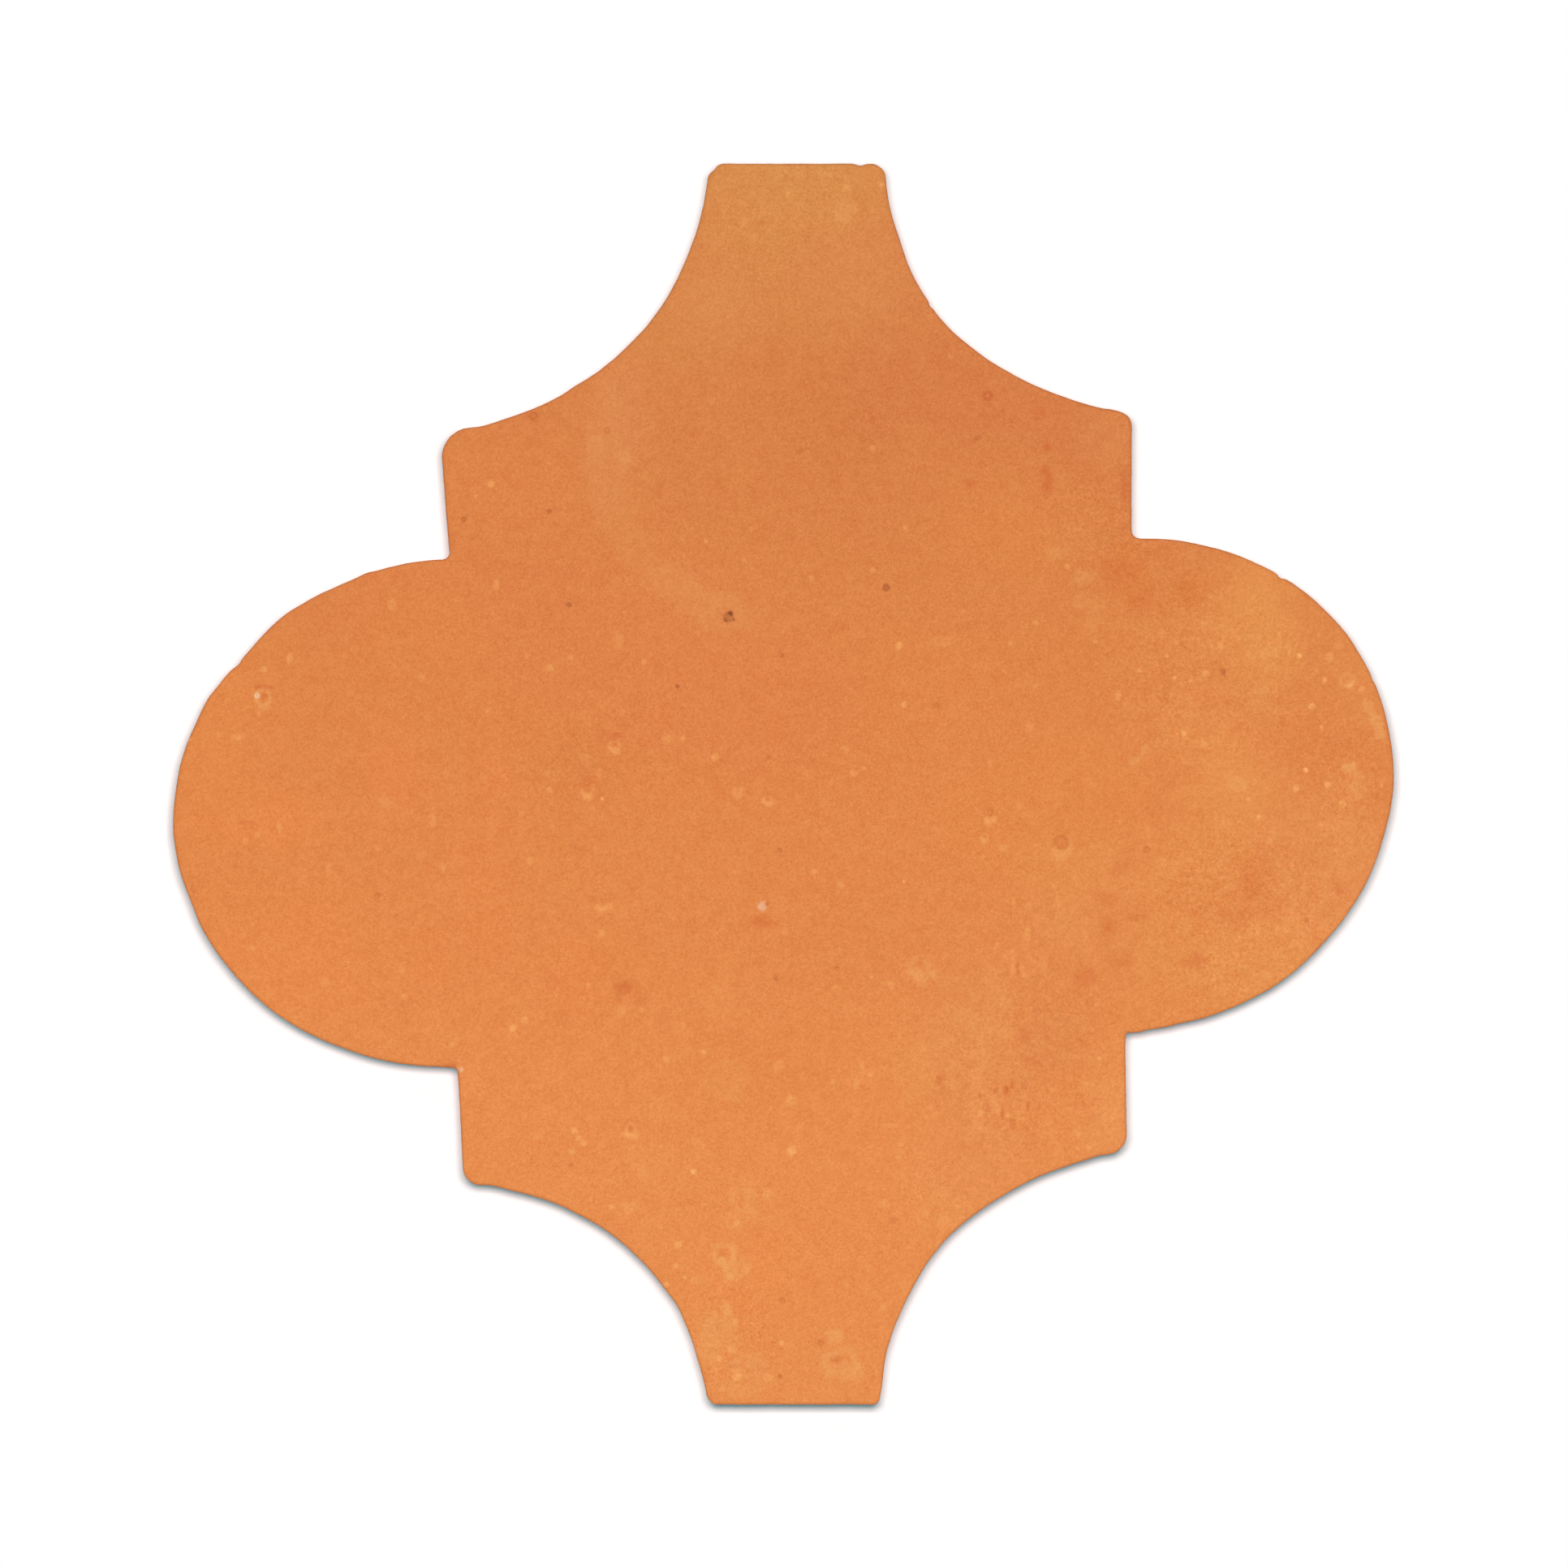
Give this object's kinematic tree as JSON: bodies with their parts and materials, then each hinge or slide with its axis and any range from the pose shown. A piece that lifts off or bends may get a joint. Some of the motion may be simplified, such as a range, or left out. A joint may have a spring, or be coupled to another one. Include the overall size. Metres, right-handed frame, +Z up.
{
  "type": "saltillo floor tile",
  "caption": "Hand-pressed terracotta floor tile in an arabesque outline, with hollow flanks, squared shoulders and round side lobes that nest with the tiles beside it.",
  "frame": {"origin": "on the underside, at the middle of the tile's overall box", "axes": "+Z up out of the pressed face, +Y from the centre to the far neck (the top of the picture), +X to the right lobe"},
  "size_m": [0.3, 0.305, 0.019],
  "materials": {
    "fired_clay": "unglazed low-fired clay, fine-grained and matte, orange with redder and yellower clouds"
  },
  "bodies": {
    "root": {"saltillo_tile": "fired_clay"}
  },
  "joints": []
}
